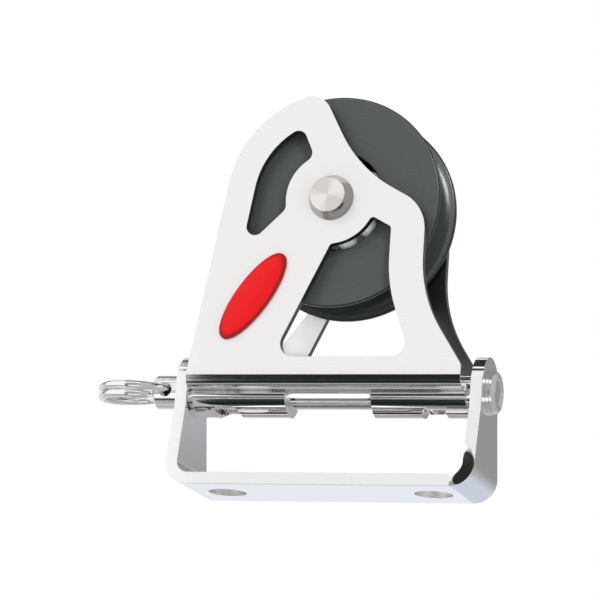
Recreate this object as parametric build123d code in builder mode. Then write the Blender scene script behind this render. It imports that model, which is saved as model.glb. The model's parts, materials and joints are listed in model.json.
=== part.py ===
# Pivoting lead block: a ball bearing sheave between two pressed cheeks that swing on a clevis pin.
# X runs along the clevis pin, Y is fore and aft, Z points away from the mounting surface.
# The origin is on the mounting surface, midway between the two mounting holes. Millimetres.
from build123d import *
from math import acos, asin, atan2, cos, degrees, radians, sin, sqrt
import os

os.makedirs("parts", exist_ok=True)

# Mounting bracket: one strap bent to a U
strap_thickness = 2.8
bracket_length = 74.2
base_depth = 22.0
bend_inner_radius = 2.8
mount_spacing = 50.0
mount_hole_diameter = 9.0
pin_height = 23.9
arm_end_radius = 7.6
arm_end_rise = 0.6
arm_straight_drop = 4.6
arm_flare_start = 3.8
arm_flare_radius = 14.0

# Clevis pin with its washer and split ring
pin_diameter = 7.94
pin_running_clearance = 0.07
pin_tail = 7.4
pin_chamfer = 0.6
pin_head_diameter = 10.0
pin_head_thickness = 0.95
pin_head_rim = 0.15
pin_head_flat_diameter = 5.8
washer_diameter = 10.4
washer_thickness = 0.75
washer_side_clearance = 0.03
ring_hole_diameter = 3.4
ring_hole_from_arm = 4.1
ring_wire_diameter = 1.9
ring_outer_diameter = 19.0
ring_coil_gap = 0.2
ring_start_angle = 40.0
ring_last_sweep = 84.0
ring_lean = 2.6
ring_lift = -1.8

# Cheeks: plate, foot bend and hinge knuckles
cheek_thickness = 2.0
cheek_gap = 18.3
cheek_foot_width = 66.4
cheek_foot_middle = -0.4
foot_bend_height = 2.0
foot_bend_radius = 2.0
wrap_lead_angle = 20.0
flange_end_angle = 45.0
knuckle_inner_x = 10.4
notch_inner_x = 22.0
notch_width = 6.0
notch_corner_radius = 2.2
tab_end_angle = 225.0
tongue_wrap_angle = 280.0
knuckle_seam = 0.3

# Cheek outline, around the axle
axle_x = -0.8
axle_rise = 44.2
rim_radius = 25.8
nose_angle = 98.0
nose_radius = 5.2
shoulder_valley = (6.3, 6.9)
shoulder_valley_radius = 33.0
shoulder_right = 23.1
shoulder_drop = 2.4
shoulder_radius = 9.7
waist_drop = 23.7
waist_radius = 32.0
ankle_height = 4.3
ankle_radius = 2.4

# Lightening windows
rail_width = 6.7
band_width = 8.1
hub_radius = 11.1
kidney_end_angle = 115.0
kidney_drop_angle = 193.0
strut_angle = 44.5
kidney_corner_radius = 2.2
window_sill = 6.2
window_left_angle = 65.1
window_left_foot = -12.7
window_right_angle = 69.5
window_waist_rise = 23.3
window_waist_radius = 35.0
window_foot_radius = 3.2
window_top_radius = 1.0
rear_sill = 13.8
rear_web_width = 6.0
rear_strut_foot = -16.7
rear_strut_angle = 54.2
rear_corner_radius = 2.4

# Sheave and its two ball rows
sheave_diameter = 50.8
sheave_width = 16.0
groove_radius = 6.8
groove_depth = 5.6
flange_lip_round = 0.5
ball_diameter = 4.76
ball_count = 10
ball_pitch_radius = 9.4
ball_row_offset = 5.0
ball_running_clearance = 0.06
track_shoulder_gap = 0.08
front_row_angle = -73.5
rear_row_angle = -55.5
bore_rib_rise = 1.0
recess_step = 0.2
race_collar_drop = 1.3
race_flange_drop = 0.8

# Axle rivet
axle_diameter = 8.0
axle_fit = 0.02
rivet_head_diameter = 10.8
rivet_face_diameter = 8.4
rivet_head_rim = 0.3
rivet_head_height = 3.0
rivet_face_round = 0.2
peened_head_height = 1.8

# Label
label_length = 24.2
label_width = 8.2
label_thickness = 1.1
label_edge_round = 0.6
label_tilt = 55.5
label_centre = (-18.3, 20.6)

# Derived places
pin_radius = pin_diameter / 2
pin_bore_radius = pin_radius + pin_running_clearance
knuckle_inner_radius = pin_bore_radius
knuckle_outer_radius = knuckle_inner_radius + cheek_thickness
axle_radius = axle_diameter / 2
rivet_head_radius = rivet_head_diameter / 2
arm_outer_x = bracket_length / 2
axle_z = pin_height + axle_rise
foot_z = pin_height + foot_bend_height
foot_half = cheek_foot_width / 2
foot_right_x = cheek_foot_middle + foot_half
notch_outer_x = notch_inner_x + notch_width
cheek_inner_y = cheek_gap / 2
cheek_outer_y = cheek_inner_y + cheek_thickness
axle_origin = (axle_x, 0, axle_z)
axle_axis = Axis(axle_origin, (0, 1, 0))
axle_section = Plane(origin=axle_origin, x_dir=(0, 1, 0), z_dir=(1, 0, 0))


def around_axle(radius, angle):
    return (axle_x + radius * cos(radians(angle)), axle_z + radius * sin(radians(angle)))


def line_to_circle(start, angle, radius):
    """Point where a line from start, going up at angle, first meets a circle round the axle."""
    across = (start[0] - axle_x, start[1] - axle_z)
    along = (cos(radians(angle)), sin(radians(angle)))
    middle = across[0] * along[0] + across[1] * along[1]
    reach = -middle - sqrt(middle**2 - across[0] ** 2 - across[1] ** 2 + radius**2)
    return (start[0] + reach * along[0], start[1] + reach * along[1])


def cross_lines(first, first_angle, second, second_angle):
    """Point where two lines, each given by a point and an angle, cross."""
    a = (cos(radians(first_angle)), sin(radians(first_angle)))
    b = (cos(radians(second_angle)), sin(radians(second_angle)))
    gap = (second[0] - first[0], second[1] - first[1])
    reach = (gap[0] * b[1] - gap[1] * b[0]) / (a[0] * b[1] - a[1] * b[0])
    return (first[0] + reach * a[0], first[1] + reach * a[1])


def beside(point, angle, distance):
    """Point at a distance to the right of a line through point going at angle."""
    return (point[0] + distance * sin(radians(angle)), point[1] - distance * cos(radians(angle)))


def round_corner(sketch, point, radius):
    fillet(sketch.vertices().sort_by_distance(Vector(*point))[0], radius=radius)


# The left edge of a cheek runs from its foot to a tangent on the rim circle
foot_left = (cheek_foot_middle - foot_half, foot_z)
foot_right = (foot_right_x, foot_z)
foot_reach = sqrt((axle_x - foot_left[0]) ** 2 + (axle_z - foot_left[1]) ** 2)
left_edge_angle = degrees(
    atan2(axle_z - foot_left[1], axle_x - foot_left[0]) + asin(rim_radius / foot_reach)
)
tangent_angle = left_edge_angle + 90
nose = around_axle(rim_radius, nose_angle)
valley = (axle_x + shoulder_valley[0], axle_z + shoulder_valley[1])
shoulder = (axle_x + shoulder_right, axle_z - shoulder_drop)
waist = (shoulder[0], axle_z - waist_drop)
ankle = (foot_right_x, pin_height + ankle_height)
shoulder_angle = degrees(atan2(valley[1] - shoulder[1], valley[0] - shoulder[0]))

# Kidney window corners
kidney_outer_radius = rim_radius - rail_width
kidney_tip = around_axle(kidney_outer_radius, kidney_end_angle)
kidney_side = around_axle(kidney_outer_radius, tangent_angle)
kidney_heel = around_axle(hub_radius, kidney_drop_angle)
kidney_neck = around_axle(hub_radius, kidney_end_angle)
kidney_toe = cross_lines(kidney_side, left_edge_angle, kidney_heel, strut_angle)

# Lower window corners
sill_z = pin_height + window_sill
window_left = (window_left_foot, sill_z)
window_top = line_to_circle(window_left, window_left_angle, hub_radius)
upper_line = beside(shoulder, shoulder_angle, -band_width)
window_shoulder_x = shoulder[0] - band_width
window_shoulder = cross_lines(upper_line, shoulder_angle, (window_shoulder_x, sill_z), 90)
window_peak = line_to_circle(window_shoulder, shoulder_angle, hub_radius)
window_waist = (window_shoulder_x, pin_height + window_waist_rise)
window_right = cross_lines(window_waist, -window_right_angle, window_left, 0)

# Rear cheek's extra window corners
rear_sill_z = pin_height + rear_sill
rear_web_radius = hub_radius + rear_web_width
rear_right = (rear_strut_foot, rear_sill_z)
rear_left = cross_lines(kidney_side, left_edge_angle, rear_right, 0)
upper_strut = beside(kidney_heel, strut_angle, rear_web_width)
rear_shoulder = cross_lines(kidney_side, left_edge_angle, upper_strut, strut_angle)
rear_top = line_to_circle(rear_shoulder, strut_angle, rear_web_radius)
rear_peak = line_to_circle(rear_right, rear_strut_angle, rear_web_radius)


def arc_between(radius, start, end):
    """Arc round the axle between two points at that radius, the short way."""
    angles = [atan2(point[1] - axle_z, point[0] - axle_x) for point in (start, end)]
    middle = sum(angles) / 2
    if abs(angles[0] - angles[1]) > radians(180):
        middle += radians(180)
    return ThreePointArc(start, around_axle(radius, degrees(middle)), end)


with BuildSketch() as kidney_window:
    with BuildLine():
        arc_between(kidney_outer_radius, kidney_tip, kidney_side)
        Polyline(kidney_side, kidney_toe, kidney_heel)
        arc_between(hub_radius, kidney_heel, kidney_neck)
        Line(kidney_neck, kidney_tip)
    make_face()
    for corner in (kidney_tip, kidney_toe, kidney_neck, kidney_heel):
        round_corner(kidney_window, corner, kidney_corner_radius)

with BuildSketch() as lower_window:
    with BuildLine():
        Line(window_left, window_top)
        arc_between(hub_radius, window_top, window_peak)
        Polyline(window_peak, window_shoulder, window_waist, window_right, window_left)
    make_face()
    round_corner(lower_window, window_waist, window_waist_radius)
    for corner in (window_left, window_right):
        round_corner(lower_window, corner, window_foot_radius)
    for corner in (window_top, window_peak, window_shoulder):
        round_corner(lower_window, corner, window_top_radius)

with BuildSketch() as rear_window:
    with BuildLine():
        Polyline(rear_peak, rear_right, rear_left, rear_shoulder, rear_top)
        arc_between(rear_web_radius, rear_top, rear_peak)
    make_face()
    for corner in (rear_right, rear_left, rear_shoulder, rear_top, rear_peak):
        round_corner(rear_window, corner, rear_corner_radius)

with BuildSketch() as cheek_blank:
    with BuildLine():
        Line(foot_left, around_axle(rim_radius, tangent_angle))
        arc_between(rim_radius, around_axle(rim_radius, tangent_angle), nose)
        Polyline(nose, valley, shoulder, waist, ankle, foot_right, foot_left)
    make_face()
    round_corner(cheek_blank, valley, shoulder_valley_radius)
    round_corner(cheek_blank, shoulder, shoulder_radius)
    round_corner(cheek_blank, waist, waist_radius)
    round_corner(cheek_blank, ankle, ankle_radius)
    round_corner(cheek_blank, nose, nose_radius)
    add(kidney_window.sketch, mode=Mode.SUBTRACT)
    add(lower_window.sketch, mode=Mode.SUBTRACT)
    with Locations((axle_x, axle_z)):
        Circle(axle_radius + axle_fit, mode=Mode.SUBTRACT)


# Each foot bends inward under the plate, then leads down on to the wrap round the pin
plate_mid_y = cheek_inner_y + cheek_thickness / 2
flange_mid_z = foot_bend_height - foot_bend_radius
wrap_mid_radius = knuckle_inner_radius + cheek_thickness / 2
lead_sin = sin(radians(wrap_lead_angle))
lead_cos = cos(radians(wrap_lead_angle))
lead_radius = (flange_mid_z + wrap_mid_radius * lead_sin) / (1 - lead_sin)
flange_end_y = (wrap_mid_radius + lead_radius) * lead_cos
tab_sweep = tab_end_angle - 180 - wrap_lead_angle
seam_angle = degrees(knuckle_seam / knuckle_outer_radius)
rear_tongue_sweep = 360 - tab_end_angle - wrap_lead_angle - seam_angle
notch_half_depth = -knuckle_outer_radius * cos(radians(tab_end_angle))


def foot_zone(side, near_x, far_x, heading, wrap=0):
    """Foot of one cheek between near_x and far_x, on both sides of the foot's middle.

    side is -1 for the front cheek and 1 for the rear one. heading is where the lead-in
    bend stops, measured from straight down, and wrap is how far it then follows the pin.
    """
    for start_x in (near_x, -far_x):
        foot_origin = (cheek_foot_middle + start_x, 0, pin_height)
        foot_plane = Plane(origin=foot_origin, x_dir=(0, 1, 0), z_dir=(1, 0, 0))
        with BuildSketch(foot_plane) as foot_section:
            with BuildLine():
                bend_start = (side * plate_mid_y, foot_bend_height)
                bend = JernArc(bend_start, (0, -1), foot_bend_radius, -90 * side)
                flat = Line(bend @ 1, (side * flange_end_y, flange_mid_z))
                if heading < 90:
                    lead = JernArc(flat @ 1, (-side, 0), lead_radius, side * (90 - heading))
                if wrap:
                    JernArc(lead @ 1, lead % 1, wrap_mid_radius, -side * wrap)
            trace(line_width=cheek_thickness)
        extrude(foot_section.sketch, amount=far_x - near_x)


def notch_cut():
    """Rounded notches between the knuckles, cut from below."""
    with BuildSketch(Plane.XY.offset(pin_height - 2 * knuckle_outer_radius)) as notches:
        for hand in (1, -1):
            with Locations((cheek_foot_middle + hand * (notch_inner_x + notch_width / 2), 0)):
                RectangleRounded(notch_width, 2 * notch_half_depth, notch_corner_radius)
    extrude(notches.sketch, amount=2 * knuckle_outer_radius, mode=Mode.SUBTRACT)


notch_corner_rise = notch_corner_radius / cos(radians(tab_end_angle - 180))
corner_sweep = tab_sweep + degrees(notch_corner_rise / knuckle_inner_radius)

with BuildPart() as front_cheek:
    with BuildSketch(Plane.XZ.offset(cheek_inner_y)):
        add(cheek_blank.sketch)
    extrude(amount=cheek_thickness)
    foot_zone(-1, 0, foot_half, flange_end_angle)
    foot_zone(-1, knuckle_inner_x, foot_half, wrap_lead_angle, tab_sweep)
    foot_zone(-1, notch_inner_x, notch_inner_x + notch_corner_radius, wrap_lead_angle, corner_sweep)
    notch_cut()
    foot_zone(-1, knuckle_inner_x, notch_inner_x, wrap_lead_angle, tongue_wrap_angle)
front_cheek.part.label = "front_cheek"
export_step(front_cheek.part, "parts/front_cheek.step")

with BuildPart() as rear_cheek:
    with BuildSketch(Plane.XZ.offset(-cheek_inner_y)):
        add(cheek_blank.sketch)
        add(rear_window.sketch, mode=Mode.SUBTRACT)
    extrude(amount=-cheek_thickness)
    foot_zone(1, 0, foot_half, 90)
    foot_zone(1, notch_inner_x + knuckle_seam, foot_half, wrap_lead_angle, tab_sweep)
    foot_zone(1, notch_outer_x - notch_corner_radius, notch_outer_x, wrap_lead_angle, corner_sweep)
    notch_cut()
    foot_zone(1, notch_outer_x, foot_half, wrap_lead_angle, rear_tongue_sweep)
rear_cheek.part.label = "rear_cheek"
export_step(rear_cheek.part, "parts/rear_cheek.step")


# The strap is bent to a U, and its arms taper to a rounded end round the pin
with BuildPart() as mounting_bracket:
    arm_top = pin_height + arm_end_rise + arm_end_radius
    with BuildSketch(Plane.XZ.offset(-base_depth / 2)):
        with Locations((0, arm_top / 2)):
            Rectangle(bracket_length, arm_top)
        fillet(vertices().group_by(Axis.Y)[0], radius=bend_inner_radius + strap_thickness)
        with BuildSketch(mode=Mode.PRIVATE) as strap_inside:
            with Locations((0, arm_top / 2 + strap_thickness)):
                Rectangle(bracket_length - 2 * strap_thickness, arm_top)
            fillet(vertices().group_by(Axis.Y)[0], radius=bend_inner_radius)
        add(strap_inside.sketch, mode=Mode.SUBTRACT)
    extrude(amount=base_depth)
    with BuildSketch(Plane.YZ.offset(-arm_outer_x)) as arm_side:
        with BuildLine():
            arm_shoulder_z = pin_height - arm_straight_drop
            base_corner = (base_depth / 2, arm_flare_start)
            arm_shoulder = (arm_end_radius, arm_shoulder_z)
            arm_tip = (arm_end_radius, pin_height + arm_end_rise)
            Polyline((0, 0), (base_depth / 2, 0), base_corner, arm_shoulder, arm_tip)
            CenterArc((0, pin_height + arm_end_rise), arm_end_radius, 0, 90)
            Line((0, arm_top), (0, 0))
        make_face()
        round_corner(arm_side, arm_shoulder, arm_flare_radius)
        round_corner(arm_side, base_corner, arm_flare_radius)
        mirror(about=Plane.YZ)
    extrude(amount=bracket_length, mode=Mode.INTERSECT)
    with BuildSketch(Plane.YZ.offset(-arm_outer_x)):
        with Locations((0, pin_height)):
            Circle(pin_bore_radius)
    extrude(amount=bracket_length, mode=Mode.SUBTRACT)
    with BuildSketch(Plane.XY):
        with GridLocations(mount_spacing, 0, 2, 1):
            Circle(mount_hole_diameter / 2)
    extrude(amount=strap_thickness, mode=Mode.SUBTRACT)
mounting_bracket.part.label = "mounting_bracket"
export_step(mounting_bracket.part, "parts/mounting_bracket.step")


# The clevis pin: a turned rod with a domed head and a cross hole for the split ring
pin_section = Plane(origin=(0, 0, pin_height), x_dir=(1, 0, 0), z_dir=(0, -1, 0))
pin_axis = Axis((0, 0, pin_height), (1, 0, 0))
washer_x = arm_outer_x + washer_side_clearance
head_x = washer_x + washer_thickness + washer_side_clearance
tail_x = -arm_outer_x - pin_tail
ring_hole_x = -arm_outer_x - ring_hole_from_arm

with BuildPart() as clevis_pin:
    with BuildSketch(pin_section):
        with BuildLine():
            head_rim = (head_x + pin_head_rim, pin_head_diameter / 2)
            head_flat = (head_x + pin_head_thickness, pin_head_flat_diameter / 2)
            Polyline(
                (head_x + pin_head_thickness, 0),
                (tail_x, 0),
                (tail_x, pin_radius - pin_chamfer),
                (tail_x + pin_chamfer, pin_radius),
                (head_x, pin_radius),
                (head_x, pin_head_diameter / 2),
                head_rim,
            )
            TangentArc(head_rim, head_flat, tangent=(1, 0))
            Line(head_flat, (head_x + pin_head_thickness, 0))
        make_face()
    revolve(axis=pin_axis)
    with Locations((ring_hole_x, 0, pin_height)):
        Cylinder(ring_hole_diameter / 2, pin_diameter * 2, rotation=(90, 0, 0), mode=Mode.SUBTRACT)
clevis_pin.part.label = "clevis_pin"
export_step(clevis_pin.part, "parts/clevis_pin.step")

with BuildPart() as pin_washer:
    with BuildSketch(Plane.YZ.offset(washer_x)):
        with Locations((0, pin_height)):
            Circle(washer_diameter / 2)
            Circle(pin_bore_radius, mode=Mode.SUBTRACT)
    extrude(amount=washer_thickness)
pin_washer.part.label = "pin_washer"
export_step(pin_washer.part, "parts/pin_washer.step")

# The split ring is a coil of nearly two turns. One wire of it passes through the pin's cross hole
ring_mid_radius = (ring_outer_diameter - ring_wire_diameter) / 2
ring_sag = ring_mid_radius - sqrt(ring_mid_radius**2 - pin_radius**2)
ring_reach = ring_mid_radius - ring_sag / 2
ring_rise = (ring_wire_diameter + ring_coil_gap) / 2
ring_tilt = degrees(asin(ring_rise / 2 / ring_mid_radius))
ring_half_turns = (180, 180, 180, ring_last_sweep)
ring_seat = Location((ring_hole_x, 0, pin_height)) * Rotation(ring_lean, ring_lift, 0)

with BuildPart() as split_ring:
    for half, sweep_angle in enumerate(ring_half_turns):
        ring_middle = Location((-ring_reach, 0, (1.5 - half) * ring_rise))
        half_start = Rotation(0, 0, ring_start_angle + half * 180)
        tilted = Plane(ring_seat * ring_middle * half_start * Rotation(0, -ring_tilt, 0))
        section = Plane(origin=tilted.origin, x_dir=tilted.x_dir, z_dir=-tilted.y_dir)
        with BuildSketch(section):
            with Locations((ring_mid_radius, 0)):
                Circle(ring_wire_diameter / 2)
        revolve(axis=Axis(tilted.origin, tilted.z_dir), revolution_arc=sweep_angle)
split_ring.part.label = "split_ring"
export_step(split_ring.part, "parts/split_ring.step")


# The sheave is turned: rope groove outside, a rib between two ball tracks inside
ball_radius = ball_diameter / 2
track_radius = ball_radius + ball_running_clearance
track_edge = ball_radius + track_shoulder_gap
sheave_radius = sheave_diameter / 2
groove_floor_radius = sheave_radius - groove_depth
groove_centre = groove_floor_radius + groove_radius
groove_half_mouth = sqrt(groove_radius**2 - (groove_centre - sheave_radius) ** 2)
outer_track_radius = ball_pitch_radius + track_radius
inner_track_radius = ball_pitch_radius - track_radius
bore_rib_radius = ball_pitch_radius + bore_rib_rise
recess_radius = outer_track_radius + recess_step
race_collar_radius = ball_pitch_radius - race_collar_drop
race_flange_radius = ball_pitch_radius - race_flange_drop
rib_half_width = ball_row_offset - sqrt(track_radius**2 - bore_rib_rise**2)
collar_half_width = ball_row_offset - track_edge
flange_start = ball_row_offset + sqrt(track_radius**2 - race_flange_drop**2)
track_mouth = ball_row_offset + track_edge
rib_arc = degrees(acos(bore_rib_rise / track_radius))
flange_arc = degrees(acos(race_flange_drop / track_radius))

with BuildPart() as sheave:
    with BuildSketch(axle_section):
        with BuildLine():
            Polyline((0, groove_floor_radius), (0, bore_rib_radius), (rib_half_width, bore_rib_radius))
            CenterArc((ball_row_offset, ball_pitch_radius), track_radius, 90, rib_arc)
            Polyline(
                (ball_row_offset, outer_track_radius),
                (track_mouth, outer_track_radius),
                (track_mouth, recess_radius),
                (sheave_width / 2, recess_radius),
                (sheave_width / 2, sheave_radius),
                (groove_half_mouth, sheave_radius),
            )
            groove_lip = (groove_half_mouth, sheave_radius)
            RadiusArc(groove_lip, (0, groove_floor_radius), groove_radius, short_sagitta=True)
        make_face()
        mirror(about=Plane.YZ)
    revolve(axis=axle_axis)
    rim_edges = edges().filter_by(GeomType.CIRCLE).group_by(SortBy.RADIUS)[-1]
    fillet(rim_edges, radius=flange_lip_round)
sheave.part.label = "sheave"
export_step(sheave.part, "parts/sheave.step")


# The inner race is two turned halves that meet in the middle and space the cheeks
for side, race_name in ((-1, "front_race_half"), (1, "rear_race_half")):
    with BuildPart() as race_half:
        with BuildSketch(axle_section):
            with BuildLine():
                Polyline(
                    (side * ball_row_offset, inner_track_radius),
                    (side * collar_half_width, inner_track_radius),
                    (side * collar_half_width, race_collar_radius),
                    (0, race_collar_radius),
                    (0, axle_radius + axle_fit),
                    (side * cheek_inner_y, axle_radius + axle_fit),
                    (side * cheek_inner_y, race_flange_radius),
                    (side * flange_start, race_flange_radius),
                )
                CenterArc((side * ball_row_offset, ball_pitch_radius), track_radius, -90, side * flange_arc)
            make_face()
        revolve(axis=axle_axis)
    race_half.part.label = race_name
    export_step(race_half.part, f"parts/{race_name}.step")

# Ten balls in each row, evenly spaced
for side, row_name, first_angle in ((-1, "front", front_row_angle), (1, "rear", rear_row_angle)):
    for number in range(ball_count):
        ball_x, ball_z = around_axle(ball_pitch_radius, first_angle + number * 360 / ball_count)
        with BuildPart() as ball:
            with Locations((ball_x, side * ball_row_offset, ball_z)):
                Sphere(ball_radius)
        ball_name = f"{row_name}_ball_{number + 1}"
        ball.part.label = ball_name
        export_step(ball.part, f"parts/{ball_name}.step")


# The axle is one rivet: a tapered head in front, a low dome peened over at the rear
with BuildPart() as axle_rivet:
    with BuildSketch(axle_section) as rivet_profile:
        with BuildLine():
            face_y = -cheek_outer_y - rivet_head_height
            dome_crown = cheek_outer_y + peened_head_height
            face_corner = (face_y, rivet_face_diameter / 2)
            Polyline(
                (dome_crown, 0),
                (face_y, 0),
                face_corner,
                (-cheek_outer_y - rivet_head_rim, rivet_head_radius),
                (-cheek_outer_y, rivet_head_radius),
                (-cheek_outer_y, axle_radius),
                (cheek_outer_y, axle_radius),
                (cheek_outer_y, rivet_head_radius),
            )
            TangentArc((dome_crown, 0), (cheek_outer_y, rivet_head_radius), tangent=(0, 1))
        make_face()
        round_corner(rivet_profile, face_corner, rivet_face_round)
    revolve(axis=axle_axis)
axle_rivet.part.label = "axle_rivet"
export_step(axle_rivet.part, "parts/axle_rivet.step")

# The label is a plain domed oval on the front cheek
with BuildPart() as label:
    with BuildSketch(Plane.XZ.offset(cheek_outer_y)):
        with Locations(Location((label_centre[0], pin_height + label_centre[1]), label_tilt)):
            Ellipse(label_length / 2, label_width / 2)
    extrude(amount=label_thickness)
    fillet(faces().sort_by(Axis.Y)[0].edges(), radius=label_edge_round)
label.part.label = "label"
export_step(label.part, "parts/label.step")
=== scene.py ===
# %% [markdown]
# # A pivoting lead block
#
# This block turns a rope on the deck of a boat. A sheave runs on balls between two steel
# cheeks, the cheeks swing on a clevis pin, and the pin sits in a U-shaped mounting bracket.
#
# The real pieces are already modelled and arrive as a fixed frame, so this lesson is about
# their looks: the camera, the light of a photo studio, and a finish for each metal.
#
# %% Load the frame
import json
from math import cos, pi, radians, sin

import bmesh
import bpy
from mathutils import Matrix, Vector


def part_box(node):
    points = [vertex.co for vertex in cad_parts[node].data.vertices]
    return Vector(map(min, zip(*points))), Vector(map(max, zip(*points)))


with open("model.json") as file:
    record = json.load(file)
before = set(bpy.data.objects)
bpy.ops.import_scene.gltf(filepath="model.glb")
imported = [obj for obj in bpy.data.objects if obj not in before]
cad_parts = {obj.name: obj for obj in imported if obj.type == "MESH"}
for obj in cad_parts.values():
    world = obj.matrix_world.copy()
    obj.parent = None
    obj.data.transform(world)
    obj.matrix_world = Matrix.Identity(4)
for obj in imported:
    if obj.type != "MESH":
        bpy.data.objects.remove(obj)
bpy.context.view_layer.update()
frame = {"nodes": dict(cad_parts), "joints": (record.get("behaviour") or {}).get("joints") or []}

MM = 0.001
scene = bpy.context.scene
nodes_by_name = frame["nodes"]


def joint_place(name):
    """Where a joint of the frame is, in metres."""
    return next(joint for joint in frame["joints"] if joint["name"] == name)["pos_m"]


# %% [markdown]
# ## The camera
#
# The photo is a catalogue shot through a long lens. The camera stands to the right of the
# block and a little below it, so the underside of the bracket shows and the far cheek peeps
# out on the right. We could turn a camera by hand until it looks right. Here its place was
# worked out from the photo instead, as a target, two angles, a distance and a slight roll,
# and the code only turns those numbers into a matrix.
#
# %% Camera
IMAGE_WIDTH = 600
FOCAL_LENGTH_PX = 3421.85
SENSOR_WIDTH = 36.0
CLIP_START = 0.05
CLIP_END = 20.0
CAMERA_YAW = radians(18.2)
CAMERA_PITCH = radians(-13.14)
CAMERA_ROLL = radians(3.84)
CAMERA_DISTANCE = 807.2 * MM
CAMERA_TARGET = Vector((-10.42, 0.0, 46.27)) * MM

back = Vector((
    sin(CAMERA_YAW) * cos(CAMERA_PITCH),
    -cos(CAMERA_YAW) * cos(CAMERA_PITCH),
    sin(CAMERA_PITCH),
))
level_right = Vector((cos(CAMERA_YAW), sin(CAMERA_YAW), 0.0))
level_up = back.cross(level_right)
right = cos(CAMERA_ROLL) * level_right + sin(CAMERA_ROLL) * level_up
up = cos(CAMERA_ROLL) * level_up - sin(CAMERA_ROLL) * level_right

camera_data = bpy.data.cameras.new("photo_camera")
camera_data.sensor_width = SENSOR_WIDTH
camera_data.lens = FOCAL_LENGTH_PX / IMAGE_WIDTH * SENSOR_WIDTH
camera_data.clip_start = CLIP_START
camera_data.clip_end = CLIP_END
camera = bpy.data.objects.new("photo_camera", camera_data)
scene.collection.objects.link(camera)
camera.matrix_world = Matrix.Translation(CAMERA_TARGET + back * CAMERA_DISTANCE) @ Matrix(
    (right, up, back)
).transposed().to_4x4()
scene.camera = camera
scene.view_settings.view_transform = "Standard"
print("camera at, mm:", [round(c / MM) for c in camera.location])
print("lens, mm:", round(camera_data.lens, 1))

# %% [markdown]
# ## Node helpers
#
# Every finish below is a small tree of shader nodes, and a tree written out node by node is
# long. Here one helper adds a node, sets its inputs and says what to plug in, and the others
# wrap the nodes that come back most often: a sum, a product of masks, the three parts of a
# vector, a length, a mix, and a ramp from one value or colour to another.
#
# %% Helpers that add nodes
def plug(tree, socket, value):
    """Links a value that is a socket, and sets any other value on the socket itself."""
    if isinstance(value, bpy.types.NodeSocket):
        tree.links.new(value, socket)
    else:
        socket.default_value = value


def add_node(tree, kind, settings=None, **inputs):
    """Adds a node. An input is named in words, or by its number after an underscore."""
    node = tree.nodes.new(kind)
    for name, value in (settings or {}).items():
        setattr(node, name, value)
    for name, value in inputs.items():
        key = int(name[1:]) if name.startswith("_") else name.replace("_", " ")
        plug(tree, node.inputs[key], value)
    return node


def math_node(tree, operation, *values):
    """The result of one Math node."""
    node = add_node(tree, "ShaderNodeMath", {"operation": operation})
    for socket, value in zip(node.inputs, values):
        plug(tree, socket, value)
    return node.outputs[0]


def product(tree, first, *others):
    """Multiplies values. A product of masks of 0 and 1 is 1 where all of them are."""
    for other in others:
        first = math_node(tree, "MULTIPLY", first, other)
    return first


print("helpers ready:", add_node.__name__, math_node.__name__, product.__name__)


# %% Helpers for places and lengths
def space(tree):
    """The coordinates of the point that is shaded."""
    return add_node(tree, "ShaderNodeTexCoord").outputs


def split(tree, vector):
    """The X, Y and Z of a vector."""
    return add_node(tree, "ShaderNodeSeparateXYZ", None, Vector=vector).outputs


def length(tree, vector):
    """How long a vector is."""
    measure = add_node(tree, "ShaderNodeVectorMath", {"operation": "LENGTH"}, _0=vector)
    return measure.outputs["Value"]


def flat_length(tree, x, y):
    """How far a point of a plane is from the plane's own middle."""
    return length(tree, add_node(tree, "ShaderNodeCombineXYZ", None, X=x, Y=y).outputs[0])


print("helpers ready:", space.__name__, split.__name__, length.__name__, flat_length.__name__)


# %% Helpers for ramps and mixes
def fade(tree, value, start, end, low=0.0, high=1.0):
    """Runs from low to high while the value runs from start to end."""
    sizes = {"From_Min": start, "From_Max": end, "To_Min": low, "To_Max": high}
    return add_node(tree, "ShaderNodeMapRange", None, Value=value, **sizes).outputs[0]


def blend(tree, factor, first, second):
    """Mixes two colours."""
    mix = add_node(
        tree, "ShaderNodeMix", {"data_type": "RGBA"}, _0=factor, _6=first, _7=second
    )
    return mix.outputs[2]


def color_ramp(tree, factor, *stops):
    """A ramp through (place, grey or colour) stops."""
    node = add_node(tree, "ShaderNodeValToRGB", None, Fac=factor)
    elements = node.color_ramp.elements
    while len(elements) < len(stops):
        elements.new(0.5)
    for element, (place, colour) in zip(elements, stops):
        red_green_blue = colour if isinstance(colour, tuple) else (colour,) * 3
        element.position = place
        element.color = (*red_green_blue, 1.0)
    return node.outputs["Color"]


def start_material(name, **sockets):
    """A material whose main shader has these constants set on its own sockets."""
    material = bpy.data.materials.new(name)
    material.use_nodes = True
    shader = material.node_tree.nodes["Principled BSDF"]
    for socket, value in sockets.items():
        shader.inputs[socket.replace("_", " ")].default_value = value
    return material, material.node_tree, shader


print("helpers ready:", fade.__name__, blend.__name__, color_ramp.__name__)

# %% [markdown]
# ## The studio
#
# Polished steel has hardly any colour of its own: what we see on it is the room. In the
# photo the flat cheeks mirror a broad white card round the camera, and above and below that
# card the room is dark with a few thin light strips. That is what draws the crisp black and
# white lines along the pin and the rolled knuckles.
#
# A room like that could be built from emission planes. All those lines run along the pin, so
# a world whose brightness depends on one angle round the pin's direction does the same with
# a colour ramp. The angle is 0 towards the front, 90 straight up and 180 behind the block.
# Four such ramps stand side by side: a bright card far to the left, the part of the room in
# front of the block, the dim part to its right and the wall at the far right. In a world
# shader the Generated coordinate is simply the direction that is looked up.
#
# %% The angle round the pin
world = bpy.data.worlds.new("studio")
world.use_nodes = True
scene.world = world
room = world.node_tree
room.nodes.clear()

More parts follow.
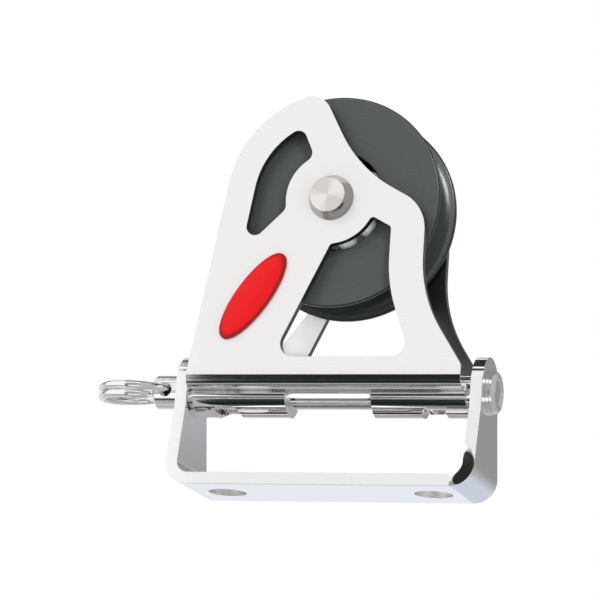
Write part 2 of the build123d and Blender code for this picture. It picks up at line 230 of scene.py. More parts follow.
look_x, look_y, look_z = split(room, space(room)["Generated"])
angle_round_pin = math_node(room, "ARCTAN2", look_z, math_node(room, "MULTIPLY", look_y, -1.0))
ring_place = math_node(room, "MULTIPLY_ADD", angle_round_pin, 1.0 / (2.0 * pi), 0.5)


def room_ramp(*stops):
    """A ramp round the pin's direction, from (angle in degrees, light) stops."""
    return color_ramp(room, ring_place, *((angle / 360.0 + 0.5, light) for angle, light in stops))


print("world started:", world.name)

# %% The four parts of the room
left_light = room_ramp(
    (-180, 0.85),
    (-130, 0.55),
    (-70, 0.50),
    (-64, 0.08),
    (-56, 0.10),
    (-50, 1.0),
    (90, 0.95),
    (110, 0.80),
    (118, 0.05),
    (130, 0.08),
    (138, 0.60),
    (179, 0.80),
)
front_light = room_ramp(
    (-180, (0.82, 0.85, 0.92)),
    (-161, (0.80, 0.83, 0.90)),
    (-155, 0.30),
    (-146, 0.42),
    (-137, 0.40),
    (-130, 0.10),
    (-122, 0.12),
    (-116, 0.40),
    (-109, 0.85),
    (-98, 0.75),
    (-90, 0.30),
    (-84, 0.14),
    (-78, 0.25),
    (-74, 0.60),
    (-70, 0.15),
    (-66, 0.008),
    (-45, (0.020, 0.032, 0.032)),
    (-12, 0.015),
    (4, 0.02),
    (6.5, 1.0),
    (9, 0.87),
    (58, 0.87),
    (64, 0.03),
    (71, 0.03),
    (73, 1.3),
    (78, 1.3),
    (80, 0.03),
    (122, 0.02),
    (127, 1.0),
    (131, 0.92),
    (137, 0.50),
    (179, 0.62),
)
right_light = room_ramp(
    (-180, (0.42, 0.45, 0.50)),
    (-166, (0.60, 0.65, 0.74)),
    (-150, (0.56, 0.60, 0.68)),
    (-120, 0.45),
    (-60, 0.35),
    (-50, 1.3),
    (-40, 1.3),
    (-33, 0.36),
    (36, 0.36),
    (44, 1.3),
    (54, 1.3),
    (64, 0.30),
    (130, 0.26),
    (179, 0.31),
)
far_right_light = room_ramp(
    (-180, 0.42),
    (-100, 0.45),
    (0, 0.50),
    (90, 0.50),
    (150, 0.46),
    (167, (0.52, 0.55, 0.60)),
    (170, (0.28, 0.27, 0.26)),
    (176, 0.38),
)
print("ramps in the world:", sum(node.type == "VALTORGB" for node in room.nodes))

# %% [markdown]
# ## One room from four ramps
#
# The first number of the direction says how far to the left or right we look, so it picks
# the ramp. The card at the left ends sharply and the other borders are soft. The steel
# mirrors this room, but the camera itself should see plain white behind the block, which is
# what Is Camera Ray is for.
#
# %% Join the parts of the room
BACKGROUND = (1.0, 1.0, 1.0, 1.0)
FRONT_FROM = (-0.3375, -0.3355)
RIGHT_FROM = (-0.25, -0.22)
FAR_RIGHT_FROM = (0.28, 0.32)

room_light = blend(room, fade(room, look_x, *FRONT_FROM), left_light, front_light)
room_light = blend(room, fade(room, look_x, *RIGHT_FROM), room_light, right_light)
room_light = blend(room, fade(room, look_x, *FAR_RIGHT_FROM), room_light, far_right_light)
is_camera = add_node(room, "ShaderNodeLightPath").outputs["Is Camera Ray"]
seen = blend(room, is_camera, room_light, BACKGROUND)
background = add_node(room, "ShaderNodeBackground", None, Color=seen, Strength=1.0)
add_node(room, "ShaderNodeOutputWorld", None, Surface=background.outputs[0])
print("studio world ready, nodes:", len(room.nodes))

# %% [markdown]
# ## Floor
#
# The camera looks up at the block, so the floor lies well below it and out of the picture.
# It still sends pale light up on to whatever isn't a mirror. Seen from above it would look
# grey, and more light on it would also be more light on the block. So the floor gives off a
# little light for the camera alone, and keeps the block's shadow.
#
# %% Floor
FLOOR_DROP = 0.16
FLOOR_SIZE = 3.0
FLOOR_TINT = (0.86, 0.86, 0.87, 1.0)
FLOOR_GLOW = 0.30

floor_mesh = bpy.data.meshes.new("floor")
floor_form = bmesh.new()
bmesh.ops.create_grid(floor_form, x_segments=1, y_segments=1, size=FLOOR_SIZE)
bmesh.ops.translate(floor_form, verts=floor_form.verts, vec=(0.0, 0.0, -FLOOR_DROP))
floor_form.to_mesh(floor_mesh)
floor_form.free()
floor = bpy.data.objects.new("floor", floor_mesh)
scene.collection.objects.link(floor)
floor.visible_glossy = False

floor_paint, floor_tree, floor_shader = start_material(
    "pale_floor",
    Base_Color=FLOOR_TINT,
    Roughness=0.9,
    Specular_IOR_Level=0.1,
    Emission_Color=(1.0, 1.0, 1.0, 1.0),
)
seen_directly = add_node(floor_tree, "ShaderNodeLightPath").outputs["Is Camera Ray"]
floor_glow = math_node(floor_tree, "MULTIPLY", seen_directly, FLOOR_GLOW)
floor_tree.links.new(floor_glow, floor_shader.inputs["Emission Strength"])
floor_mesh.materials.append(floor_paint)
print("floor at, mm:", -FLOOR_DROP / MM)

# %% [markdown]
# ## Lamps
#
# Three soft area lamps stand for the softboxes. They light what isn't a mirror: the dark
# sheave, the red label, the dull edges and the brushed steel. In the photo a few pieces are
# brighter than those three would make them: the worn middle of the pin, the groove of the
# sheave, the balls, and the far cheek inside the window. We can't tell which lights did
# that, so each gets a lamp of its own, which light linking keeps off all other pieces. Only
# the two strip lamps, on pin and groove, are mirrored by the steel.
#
# %% A helper that hangs a lamp
BLOCK_MIDDLE = (0.0, 0.0, 50.0)


def area_lamp(name, place, size, power, height=None, only=(), mirrored=False, aim=BLOCK_MIDDLE):
    """A softbox. Places are in mm, sizes in metres. With only, it lights just those pieces."""
    data = bpy.data.lights.new(name, "AREA")
    data.size = size
    data.energy = power
    if height:
        data.shape = "RECTANGLE"
        data.size_y = height
    lamp = bpy.data.objects.new(name, data)
    lamp.location = Vector(place) * MM
    way = Vector(aim) * MM - lamp.location
    lamp.rotation_euler = way.to_track_quat("-Z", "Y").to_euler()
    lamp.visible_glossy = mirrored
    lamp.visible_camera = False
    scene.collection.objects.link(lamp)
    if only:
        lit = bpy.data.collections.new("lit_by_" + name)
        for piece_name in only:
            lit.objects.link(nodes_by_name[piece_name])
        lamp.light_linking.receiver_collection = lit
    return lamp


print("lamps aim at, mm:", BLOCK_MIDDLE)

# %% Hang the lamps
PIN_LAMP_REACH = 400.0
PIN_LAMP_WAY = Vector((-0.295, -0.801, -0.520))
pin_middle = sum(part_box("clevis_pin"), Vector()) / 2.0 / MM
pin_middle.x = 0.0
bearing = [name for name in nodes_by_name if "ball" in name or "race" in name]

lamps = [
    area_lamp("key_lamp", (-350, -500, 420), 0.30, 2.0),
    area_lamp("fill_lamp", (500, -450, 60), 0.40, 1.2),
    area_lamp("rear_lamp", (170, 1000, 700), 0.75, 8.2),
    area_lamp(
        "pin_lamp",
        pin_middle + PIN_LAMP_REACH * PIN_LAMP_WAY,
        0.14,
        0.095,
        height=0.20,
        only=["clevis_pin"],
        mirrored=True,
        aim=pin_middle,
    ),
    area_lamp("ball_lamp", (205, -640, -110), 0.10, 1.5, only=bearing),
    area_lamp("inside_lamp", (190, -650, -120), 0.10, 4.0, only=["rear_cheek"]),
    area_lamp(
        "groove_lamp", (304, -428, 376), 0.05, 1.6, height=0.16, only=["sheave"], mirrored=True
    ),
]
print("lamps:", [lamp.name for lamp in lamps])

# %% [markdown]
# ## Steel
#
# All the steel is the same stainless alloy. What differs is how each piece was finished:
# sheet that was polished in one direction, a strap that was tumbled bright, bar that was
# turned in a lathe, drawn wire. A grain is noise stretched along the tool's path, and it
# drives both the roughness and a very fine bump. The patterns read object coordinates, which
# are metres here, so a scale of 1000 repeats once a millimetre. A Bevel node rounds the edges
# for the light only, by a tenth of a millimetre, so that they catch a thin highlight.
#
# %% Helpers for noise and bumps
def stretched_noise(tree, scale, detail=3.0, roughness=0.6):
    """Noise with its own scale along each axis, in repeats per metre."""
    mapping = add_node(tree, "ShaderNodeMapping", None, Vector=space(tree)["Object"], Scale=scale)
    noise = add_node(
        tree,
        "ShaderNodeTexNoise",
        None,
        Vector=mapping.outputs[0],
        Scale=1.0,
        Detail=detail,
        Roughness=roughness,
    )
    return noise.outputs["Fac"]


def bump(tree, height, distance, normal=None):
    """Tilts a normal by a height. Height times distance is in metres."""
    node = add_node(tree, "ShaderNodeBump", None, Strength=1.0, Distance=distance, Height=height)
    if normal is not None:
        tree.links.new(normal, node.inputs["Normal"])
    return node.outputs[0]


def change_input(tree, socket, change):
    """Passes what is plugged into a socket through a change, and plugs the result back in."""
    tree.links.new(change(socket.links[0].from_socket), socket)


def roughen(tree, shader, mask, least_roughness):
    """Gives the masked part of a material at least this roughness."""
    least = math_node(tree, "MULTIPLY", mask, least_roughness)
    change_input(
        tree, shader.inputs["Roughness"], lambda rough: math_node(tree, "MAXIMUM", rough, least)
    )


print("helpers ready:", stretched_noise.__name__, bump.__name__, roughen.__name__)

# %% A helper for grained steel
BLOTCH_SCALE = (160.0, 160.0, 160.0)
BLOTCH_SHADE = 0.985
EDGE_ROUND = 0.12 * MM
EDGE_SAMPLES = 6


def grained_steel(name, tint, grain_scale, smooth, rough, grain_height, waviness=0.0):
    """Polished steel with a grain, a slow waviness and softly rounded edges, heights in mm."""
    material, tree, shader = start_material(name, Metallic=1.0)
    grain = stretched_noise(tree, grain_scale)
    blotch = stretched_noise(tree, BLOTCH_SCALE, detail=2.0)
    dark = tuple(BLOTCH_SHADE * channel for channel in tint)
    colour = color_ramp(tree, blotch, (0.35, dark), (0.65, tint))
    tree.links.new(colour, shader.inputs["Base Color"])
    tree.links.new(fade(tree, grain, 0.3, 0.7, smooth, rough), shader.inputs["Roughness"])
    edge = add_node(tree, "ShaderNodeBevel", {"samples": EDGE_SAMPLES}, Radius=EDGE_ROUND)
    fine = bump(tree, grain, grain_height * MM, edge.outputs[0])
    tree.links.new(bump(tree, blotch, waviness * MM, fine), shader.inputs["Normal"])
    return material, tree, shader


print("edges are rounded by, mm:", EDGE_ROUND / MM)

# %% The steels
cheek_steel, cheek_tree, cheek_shader = grained_steel(
    "cheek_steel",
    tint=(0.965, 0.955, 0.945),
    grain_scale=(60.0, 2500.0, 2500.0),
    smooth=0.03,
    rough=0.06,
    grain_height=0.0002,
)
bracket_steel, bracket_tree, bracket_shader = grained_steel(
    "bracket_steel",
    tint=(0.965, 0.96, 0.955),
    grain_scale=(900.0, 900.0, 900.0),
    smooth=0.03,
    rough=0.06,
    grain_height=0.0002,
    waviness=0.004,
)
turned_steel, turned_tree, turned_shader = grained_steel(
    "turned_steel",
    tint=(0.92, 0.91, 0.90),
    grain_scale=(3500.0, 150.0, 150.0),
    smooth=0.06,
    rough=0.12,
    grain_height=0.0004,
)
wire_steel = grained_steel(
    "wire_steel",
    tint=(0.97, 0.96, 0.955),
    grain_scale=(800.0, 800.0, 800.0),
    smooth=0.12,
    rough=0.2,
    grain_height=0.0002,
)[0]
head_steel = grained_steel(
    "head_steel",
    tint=(0.95, 0.93, 0.92),
    grain_scale=(900.0, 300.0, 300.0),
    smooth=0.10,
    rough=0.16,
    grain_height=0.0002,
)[0]
print("steels:", [steel.name for steel in (cheek_steel, bracket_steel, turned_steel)])

# %% [markdown]
# ## Worn middle of the pin
#
# Between the knuckles nothing covers the pin, and in the photo it looks worn dull there. A
# mask on the distance from the pin's middle makes that part rougher.
#
# %% Worn middle of the pin
WORN_HALF = 8.9 * MM
WORN_ROUGHNESS = 0.20

pin_x = split(turned_tree, space(turned_tree)["Object"])["X"]
is_worn = math_node(
    turned_tree, "LESS_THAN", math_node(turned_tree, "ABSOLUTE", pin_x), WORN_HALF
)
roughen(turned_tree, turned_shader, is_worn, WORN_ROUGHNESS)
print("worn part of the pin, mm:", round(2 * WORN_HALF / MM, 1))

# %% [markdown]
# ## Masks on the cheeks
#
# The cheeks are cut from sheet and then polished on the outside, so the outer faces shine,
# the cut edges stay dull, and the inner faces are only brushed. The object's own normal
# tells them apart. On a cut edge it has hardly any Y part. On an inner face it points back
# to the middle, so place and normal have opposite signs in Y. Inner faces to the right of
# the axle and the struts to its left get masks of their own. Below the foot the sheet is
# bent round the pin, and all these masks are left off. The dark tint of the cut edges is a
# painted dark reflection.
#
# %% Masks on the cheeks
PLATE_ABOVE = 27.0 * MM
INNER_FROM_X = 8.0 * MM
EDGE_FACING = 0.5

cheek_space = space(cheek_tree)
cheek_facing = split(cheek_tree, cheek_space["Normal"])
cheek_spot = split(cheek_tree, cheek_space["Object"])
off_edge = math_node(cheek_tree, "ABSOLUTE", cheek_facing["Y"])
is_plate = math_node(cheek_tree, "GREATER_THAN", cheek_spot["Z"], PLATE_ABOVE)
is_edge = math_node(cheek_tree, "LESS_THAN", off_edge, EDGE_FACING)
is_cut = product(cheek_tree, is_edge, is_plate)
inwards = product(cheek_tree, cheek_facing["Y"], cheek_spot["Y"])
is_brushed = product(cheek_tree, math_node(cheek_tree, "LESS_THAN", inwards, 0.0), is_plate)
on_right = math_node(cheek_tree, "GREATER_THAN", cheek_spot["X"], INNER_FROM_X)
is_flank = product(cheek_tree, is_brushed, on_right)
is_strut = math_node(cheek_tree, "SUBTRACT", is_brushed, is_flank)
is_face = math_node(cheek_tree, "SUBTRACT", is_plate, is_cut)
is_outer = math_node(
    cheek_tree, "MAXIMUM", math_node(cheek_tree, "SUBTRACT", is_face, is_brushed), 0.0
)
print("masks start above, mm:", PLATE_ABOVE / MM)

# %% [markdown]
# ## Finish of the plates
#
# The inner face to the right of the axle looks dark and turns paler towards the foot,
# probably because it mirrors the sheave beside it. Here that reflection is painted: the face
# gets a dark tint that turns paler towards the foot. The struts and the outer faces are only
# partly metallic. A pure mirror would turn black wherever it meets a dark part of the room,
# and a share of plain pale colour keeps them from that. The cut edges come last, because they
# lie over all the rest, and their dark tint is a painted dark reflection.
#
# %% Finish of the plates
CUT_EDGE_DARK_REFLECTION = (0.16, 0.15, 0.14, 1.0)
CUT_ROUGHNESS = 0.38
FLANK_REFLECTION_TINT = (0.23, 0.25, 0.24)
FLANK_FOOT_REFLECTION_TINT = (0.60, 0.54, 0.50)
FLANK_FOOT_TOP = 36.0 * MM
BRUSHED_TINT = (1.0, 0.99, 0.98, 1.0)
BRUSHED_ROUGHNESS = 0.30
STRUT_METAL = 0.45
OUTER_TINT = (0.865, 0.855, 0.848, 1.0)
OUTER_METAL = 0.55


def treat(tree, shader, mask, tint, least_roughness=None):
    """Gives the masked part of a material its own tint and, if told, a least roughness."""
    change_input(
        tree, shader.inputs["Base Color"], lambda colour: blend(tree, mask, colour, tint)
    )
    if least_roughness is not None:
        roughen(tree, shader, mask, least_roughness)


# painted reflection: the inner face right of the axle gets a dark tint, paler towards the foot
up_the_flank = fade(cheek_tree, cheek_spot["Z"], PLATE_ABOVE, FLANK_FOOT_TOP)
painted_flank_reflection = color_ramp(cheek_tree, up_the_flank, (0.0, FLANK_FOOT_REFLECTION_TINT), (1.0, FLANK_REFLECTION_TINT))
treat(cheek_tree, cheek_shader, is_brushed, BRUSHED_TINT, BRUSHED_ROUGHNESS)
treat(cheek_tree, cheek_shader, is_outer, OUTER_TINT)
treat(cheek_tree, cheek_shader, is_flank, painted_flank_reflection, BRUSHED_ROUGHNESS)
# painted dark reflection: the cut edges get a dark tint
treat(cheek_tree, cheek_shader, is_cut, CUT_EDGE_DARK_REFLECTION, CUT_ROUGHNESS)

metal = math_node(cheek_tree, "MULTIPLY_ADD", is_strut, STRUT_METAL - 1.0, 1.0)
metal = math_node(cheek_tree, "MULTIPLY_ADD", is_outer, OUTER_METAL - 1.0, metal)
cheek_tree.links.new(metal, cheek_shader.inputs["Metallic"])
print("plates ready, metal share outside:", OUTER_METAL)

# %% [markdown]
# ## Roll ridge and painted marks on the knuckles
#
# The sheet was rolled round the pin. Each knuckle shows a thin bright line on its dark part,
# which we read as a shallow ridge left by the tool: its upper side leans back and mirrors the
# white card. A dotted reflection in the valley between foot and knuckle is painted as a row
# of small dark marks. Ridge and marks are hills along the way round the pin, which is an
# angle times the knuckle's radius, here in millimetres.
#
# %% The way round the knuckles
KNUCKLE_RADIUS = 6.04
ROLLED_BELOW = 1.0 * MM

pin_z = joint_place("head_pivot")[2]
above_pin = math_node(cheek_tree, "SUBTRACT", cheek_spot["Z"], pin_z)
off_middle = math_node(cheek_tree, "ABSOLUTE", cheek_spot["Y"])
turn = math_node(cheek_tree, "ARCTAN2", above_pin, off_middle)
way_round = math_node(cheek_tree, "MULTIPLY", turn, KNUCKLE_RADIUS)
is_rolled = math_node(cheek_tree, "LESS_THAN", cheek_spot["Z"], pin_z + ROLLED_BELOW)


def hill(tree, value, middle, width):
    """A smooth hill of height 1 along a value, a Gaussian curve."""
    far = math_node(tree, "DIVIDE", math_node(tree, "SUBTRACT", value, middle), width)
    return math_node(tree, "EXPONENT", product(tree, far, far, -1.0))


print("pin at, mm:", round(pin_z / MM, 1))

# %% Ridge and painted reflection marks
RIDGE_MIDDLE = -2.32
RIDGE_WIDTH = 0.34
RIDGE_HEIGHT = 0.17
TICK_PITCH = 0.75 * MM
TICK_MIDDLE = -0.82
TICK_WIDTH = 0.22
TICK_REFLECTION_TINT = (0.35, 0.35, 0.35, 1.0)
TICK_ROUGHNESS = 0.2

ridge_line = hill(cheek_tree, way_round, RIDGE_MIDDLE, RIDGE_WIDTH)
ridge = product(cheek_tree, ridge_line, RIDGE_HEIGHT, is_rolled)
change_input(
    cheek_tree, cheek_shader.inputs["Normal"], lambda normal: bump(cheek_tree, ridge, MM, normal)
)
along_pin = math_node(cheek_tree, "MULTIPLY", cheek_spot["X"], 2.0 * pi / TICK_PITCH)
dot_row = math_node(cheek_tree, "MULTIPLY_ADD", math_node(cheek_tree, "SINE", along_pin), 0.5, 0.5)
tick_line = hill(cheek_tree, way_round, TICK_MIDDLE, TICK_WIDTH)
painted_dot_reflection = product(cheek_tree, product(cheek_tree, tick_line, is_rolled), dot_row)
# painted reflection: a row of small dark marks in the valley between foot and knuckle
treat(cheek_tree, cheek_shader, painted_dot_reflection, TICK_REFLECTION_TINT, TICK_ROUGHNESS)
print("roll marks ready, ridge height in mm:", RIDGE_HEIGHT)

# %% [markdown]
# ## Bulge at the bend of the bracket
#
# When a strap is bent, the metal inside the bend has nowhere to go and swells out of the
# strap's two narrow edges, by tenths of a millimetre only. This would explain the dark patch
# that the photo shows at the right corner, and only that corner is drawn. The bump falls from
# the inside of the bend to the outside, is full in the bend and fades out along the arm and
# the base.
#
# %% Where the bend is
BEND_MID_RADIUS = 4.2 * MM
BEND_OUTER_RADIUS = 5.6 * MM
BULGE_REACH = 1.7 * MM
ARM_FADE = 3.4 * MM
ARM_SLANT = 1.2 * MM
BASE_FADE = 2.6 * MM
NARROW_FACING = 0.9

bracket_low, bracket_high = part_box("mounting_bracket")
bend_x = bracket_high.x - BEND_OUTER_RADIUS
bend_z = bracket_low.z + BEND_OUTER_RADIUS
bracket_space = space(bracket_tree)
bracket_facing = split(bracket_tree, bracket_space["Normal"])
spot = split(bracket_tree, bracket_space["Object"])
past_bend_x = math_node(bracket_tree, "SUBTRACT", spot["X"], bend_x)
past_bend_z = math_node(bracket_tree, "SUBTRACT", bend_z, spot["Z"])
bend_radius = flat_length(
    bracket_tree,
    math_node(bracket_tree, "MAXIMUM", past_bend_x, 0.0),
    math_node(bracket_tree, "MAXIMUM", past_bend_z, 0.0),
)
inwards_in_bend = math_node(bracket_tree, "SUBTRACT", BEND_MID_RADIUS, bend_radius)
across = math_node(bracket_tree, "DIVIDE", inwards_in_bend, BULGE_REACH)
down_the_arm = math_node(bracket_tree, "MULTIPLY_ADD", across, ARM_SLANT, past_bend_z)
in_bend = product(
    bracket_tree,
    fade(bracket_tree, down_the_arm, -ARM_FADE, 0.0),
    fade(bracket_tree, past_bend_x, 0.0, BASE_FADE),
)
is_narrow = math_node(
    bracket_tree,
    "GREATER_THAN",
    math_node(bracket_tree, "ABSOLUTE", bracket_facing["Y"]),
    NARROW_FACING,
)
print("bend centre, mm:", round(bend_x / MM, 1), round(bend_z / MM, 1))

# %% The bulge and its pits
BULGE_SLOPE = 0.20
PIT_SCALE = (1500.0, 1500.0, 1500.0)
PIT_DEPTH = 0.05 * MM

cubed = math_node(bracket_tree, "POWER", across, 3.0)
rounded_slope = math_node(
    bracket_tree, "SUBTRACT", across, math_node(bracket_tree, "DIVIDE", cubed, 3.0)
)
swelling = product(bracket_tree, rounded_slope, BULGE_SLOPE * BULGE_REACH, in_bend, is_narrow)
change_input(
    bracket_tree,
    bracket_shader.inputs["Normal"],
    lambda normal: bump(bracket_tree, swelling, 1.0, normal),
)
pitted = stretched_noise(bracket_tree, PIT_SCALE)
pits = product(bracket_tree, pitted, product(bracket_tree, in_bend, is_narrow))
change_input(
    bracket_tree,
    bracket_shader.inputs["Normal"],
    lambda normal: bump(bracket_tree, pits, PIT_DEPTH, normal),
)
print("bulge ready, slope:", BULGE_SLOPE)

# %% [markdown]
# ## Walls of the mounting holes
#
# The walls of the two holes look bright but not polished. A wall is a face with hardly any
# Z part in its normal, close to a hole's middle and low down.
#
# %% Walls of the mounting holes
HOLE_X = 25.0 * MM
HOLE_REACH = 4.7 * MM
HOLE_TOP = 4.2 * MM
HOLE_TINT = (0.97, 0.94, 0.93, 1.0)
HOLE_ROUGHNESS = 0.33
WALL_FACING = 0.5

from_hole_x = math_node(
    bracket_tree, "SUBTRACT", math_node(bracket_tree, "ABSOLUTE", spot["X"]), HOLE_X
)
from_hole = flat_length(bracket_tree, from_hole_x, spot["Y"])
flatness = math_node(bracket_tree, "ABSOLUTE", bracket_facing["Z"])
is_hole = product(
    bracket_tree,
    math_node(bracket_tree, "LESS_THAN", flatness, WALL_FACING),
    math_node(bracket_tree, "LESS_THAN", from_hole, HOLE_REACH),
    math_node(bracket_tree, "LESS_THAN", spot["Z"], HOLE_TOP),
)
treat(bracket_tree, bracket_shader, is_hole, HOLE_TINT, HOLE_ROUGHNESS)
print("hole walls ready, holes apart in mm:", 2 * HOLE_X / MM)

# %% [markdown]
# ## Painted dark reflection on the bulge
#
# The tilt of the bulge alone would mirror a dark wall, but such a wall would also blacken
# the cheeks in other views. So that dark reflection is painted as a dark tint on the swollen
# metal, with rounded ends, where the bulge stands high enough.
#
# %% Painted dark reflection on the bulge
BULGE_REFLECTION_PAINT = (0.055, 0.055, 0.052, 1.0)
BULGE_PATCH_ROUGHNESS = 0.30
REFLECTION_PAINT_FROM = 0.24
REFLECTION_PAINT_FULL = 0.34

crown = math_node(bracket_tree, "SUBTRACT", 1.0, product(bracket_tree, across, across))
bulge_height = product(bracket_tree, crown, in_bend)
painted_bulge_reflection = product(bracket_tree, fade(bracket_tree, bulge_height, REFLECTION_PAINT_FROM, REFLECTION_PAINT_FULL), is_narrow)
# painted dark reflection: a dark tint on the high part of the bulge
treat(bracket_tree, bracket_shader, painted_bulge_reflection, BULGE_REFLECTION_PAINT, BULGE_PATCH_ROUGHNESS)
print("skin ready, tint:", BULGE_REFLECTION_PAINT[:3])

# %% [markdown]
# ## Dark sheave
#
# The sheave is turned from dark, hard-anodised alloy. The lathe leaves fine rings round the
# axle. Rings could be a wave texture, but a real cut is uneven, so here the pattern is noise
# read along one direction only: the distance from the axle.
#
# %% Distance from the axle
axle_place = joint_place("sheave_spin")


def from_axle(tree):
    """Where a point is as seen from the axle: to its right, and above it."""
    axle_line = (axle_place[0], 0.0, axle_place[2])
    offset = add_node(
        tree,
        "ShaderNodeVectorMath",
        {"operation": "SUBTRACT"},
        _0=space(tree)["Object"],
        _1=axle_line,
    )
    outputs = split(tree, offset.outputs[0])
    return outputs["X"], outputs["Z"]


print("axle at, mm:", round(axle_place[0] / MM, 1), round(axle_place[2] / MM, 1))

# %% Turned faces of the sheave
RINGS_PER_METRE = 2600.0
RING_DETAIL = 4.0
RING_DEPTH = 0.001 * MM
SHEAVE_DARK = (0.046, 0.053, 0.050)
SHEAVE_PALE = (0.055, 0.063, 0.060)
SHEAVE_SMOOTH = 0.34
SHEAVE_ROUGH = 0.50

sheave_dark, sheave_tree, sheave_shader = start_material(
    "anodised_sheave", Specular_IOR_Level=0.5
)
ring_noise = add_node(
    sheave_tree,
    "ShaderNodeTexNoise",
    {"noise_dimensions": "1D"},
    W=math_node(
        sheave_tree, "MULTIPLY", flat_length(sheave_tree, *from_axle(sheave_tree)), RINGS_PER_METRE
    ),
    Scale=1.0,
    Detail=RING_DETAIL,
).outputs["Fac"]
sheave_tree.links.new(
    color_ramp(sheave_tree, ring_noise, (0.35, SHEAVE_DARK), (0.7, SHEAVE_PALE)),
    sheave_shader.inputs["Base Color"],
)
sheave_tree.links.new(
    fade(sheave_tree, ring_noise, 0.3, 0.7, SHEAVE_SMOOTH, SHEAVE_ROUGH),
    sheave_shader.inputs["Roughness"],
)
sheave_tree.links.new(
    bump(sheave_tree, ring_noise, RING_DEPTH), sheave_shader.inputs["Normal"]
)
print("sheave ready, rings per mm:", RINGS_PER_METRE * MM)

# %% [markdown]
# ## Groove of the sheave
#
# The groove is smoother than the faces, and it is painted darker, as painted shade in the
# deep groove. On a face the normal points along the axle, and wherever it leans away from
# that we are in the groove.
#
# %% Groove of the sheave
GROOVE_FACING = 0.93
GROOVE_SHADE_TINT = (0.012, 0.020, 0.019, 1.0)
GROOVE_ROUGHNESS = 0.26

sheave_facing = split(sheave_tree, space(sheave_tree)["Normal"])["Y"]
is_groove = math_node(
    sheave_tree,
    "LESS_THAN",
    math_node(sheave_tree, "ABSOLUTE", sheave_facing),
    GROOVE_FACING,
)
# painted shade: the groove gets a darker tint
treat(sheave_tree, sheave_shader, is_groove, GROOVE_SHADE_TINT)
most_rough = math_node(sheave_tree, "MULTIPLY_ADD", is_groove, GROOVE_ROUGHNESS - 1.0, 1.0)
change_input(
    sheave_tree,
    sheave_shader.inputs["Roughness"],
    lambda rough: math_node(sheave_tree, "MINIMUM", rough, most_rough),
)
print("groove ready, roughness:", GROOVE_ROUGHNESS)

# %% [markdown]
# ## Label
#
# The label is a drop of clear resin over a red disc. The resin stands up as a low dome, so
# its rim leans outwards and only the left side mirrors the white card. A bump that falls with
# the square of the distance from the middle makes that dome, and a darker rim is painted on
# as shade. The Mapping node turns the pattern to the label's own tilt and makes its outline a
# unit circle.
#
# %% Label
LABEL_LENGTH = 24.2 * MM
LABEL_WIDTH = 8.2 * MM
LABEL_TILT = radians(55.5)
LABEL_DOME = 0.10
LABEL_RED = (0.74, 0.008, 0.010)
LABEL_RIM_SHADE = (0.40, 0.006, 0.010)

label_red, label_tree, label_shader = start_material(
    "label_resin",
    Roughness=0.5,
    Specular_IOR_Level=0.15,
    Coat_Weight=0.15,
    Coat_Roughness=0.12,
)
label_low, label_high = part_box("label")
label_spot = add_node(
    label_tree,
    "ShaderNodeMapping",
    {"vector_type": "TEXTURE"},
    Vector=space(label_tree)["Object"],
    Location=(label_low + label_high) / 2.0,
    Rotation=(0.0, -LABEL_TILT, 0.0),
    Scale=(LABEL_LENGTH / 2.0, 1.0, LABEL_WIDTH / 2.0),
).outputs[0]
label_right, _, label_up = split(label_tree, label_spot)
label_reach = flat_length(label_tree, label_right, label_up)
# painted shade: the darker rim of the label
label_tree.links.new(
    color_ramp(label_tree, label_reach, (0.0, LABEL_RED), (0.86, LABEL_RED), (0.95, LABEL_RIM_SHADE)),
    label_shader.inputs["Base Color"],
)
dome = math_node(label_tree, "MULTIPLY", math_node(label_tree, "POWER", label_reach, 2.0), -1.0)
label_bump = bump(label_tree, dome, LABEL_DOME * LABEL_WIDTH / 2.0)
label_tree.links.new(label_bump, label_shader.inputs["Normal"])
label_tree.links.new(label_bump, label_shader.inputs["Coat Normal"])
print("label ready, mm:", [round(side / MM, 1) for side in label_high - label_low])

# %% [markdown]
# ## Axle head
#
# The axle is a rivet whose head was faced off in a lathe. The fine rings catch the light in
# two opposite wedges, like the fan on a compact disc. The wedges are painted highlights, a
# soft change of tint with the angle round the axle, and the rim of the head, which leans back,
# is painted dark as shade.
#
# %% Axle head
FACE_RADIUS = 4.2 * MM
FAN_ANGLE = radians(35)
AXLE_TINT = (0.95, 0.92, 0.90)
AXLE_SHADE = (0.76, 0.73, 0.71)
AXLE_RIM_SHADE = (0.42, 0.41, 0.40, 1.0)

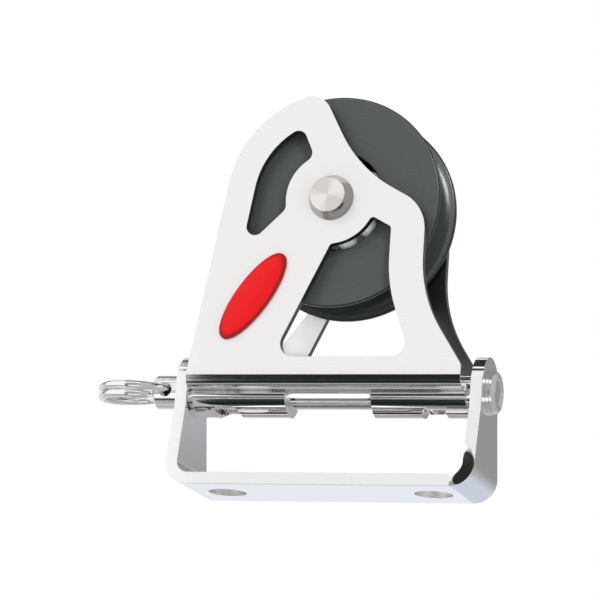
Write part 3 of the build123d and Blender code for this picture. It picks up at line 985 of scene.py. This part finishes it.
axle_steel, axle_tree, axle_shader = start_material("axle_steel", Metallic=1.0, Roughness=0.12)
axle_right, axle_up = from_axle(axle_tree)
axle_angle = math_node(axle_tree, "ARCTAN2", axle_up, axle_right)
fan_turn = math_node(axle_tree, "SUBTRACT", axle_angle, FAN_ANGLE)
two_wedges = math_node(axle_tree, "COSINE", math_node(axle_tree, "MULTIPLY", fan_turn, 2.0))
fan = math_node(axle_tree, "MULTIPLY_ADD", two_wedges, 0.5, 0.5)
is_rim = math_node(
    axle_tree, "GREATER_THAN", flat_length(axle_tree, axle_right, axle_up), FACE_RADIUS
)
# painted highlight: two light wedges by angle; painted shade: the dark rim of the head
painted_fan_highlight = color_ramp(axle_tree, fan, (0.25, AXLE_SHADE), (0.85, AXLE_TINT))
axle_tree.links.new(
    blend(axle_tree, is_rim, painted_fan_highlight, AXLE_RIM_SHADE), axle_shader.inputs["Base Color"]
)
print("axle head ready, face radius in mm:", FACE_RADIUS / MM)

# %% [markdown]
# ## Balls
#
# The balls sit deep in the window where a mirror would only see the dark inside, while in
# the photo they are pale. So their steel is satin and mostly dull, and the races share it.
#
# %% Balls
BALL_CLOUD_SCALE = (700.0, 700.0, 700.0)
BALL_DARK = (0.62, 0.64, 0.62)
BALL_PALE = (0.74, 0.76, 0.74)

ball_steel, ball_tree, ball_shader = start_material("ball_steel", Metallic=0.1, Roughness=0.3)
ball_cloud = stretched_noise(ball_tree, BALL_CLOUD_SCALE, detail=2.0)
ball_tree.links.new(
    color_ramp(ball_tree, ball_cloud, (0.3, BALL_DARK), (0.7, BALL_PALE)),
    ball_shader.inputs["Base Color"],
)
print("balls ready:", sum("ball" in name for name in nodes_by_name))

# %% [markdown]
# ## Dress the pieces
#
# Each piece takes one material. The twenty balls aren't listed: whatever has no line of its
# own in the table gets the steel of the balls.
#
# %% Dress the nodes
FINISHES = {
    "mounting_bracket": bracket_steel,
    "front_cheek": cheek_steel,
    "rear_cheek": cheek_steel,
    "clevis_pin": turned_steel,
    "pin_washer": head_steel,
    "axle_rivet": axle_steel,
    "front_race_half": ball_steel,
    "rear_race_half": ball_steel,
    "split_ring": wire_steel,
    "sheave": sheave_dark,
    "label": label_red,
}
for name, piece in nodes_by_name.items():
    piece.data.materials.clear()
    piece.data.materials.append(FINISHES.get(name, ball_steel))
print("dressed:", len(nodes_by_name))
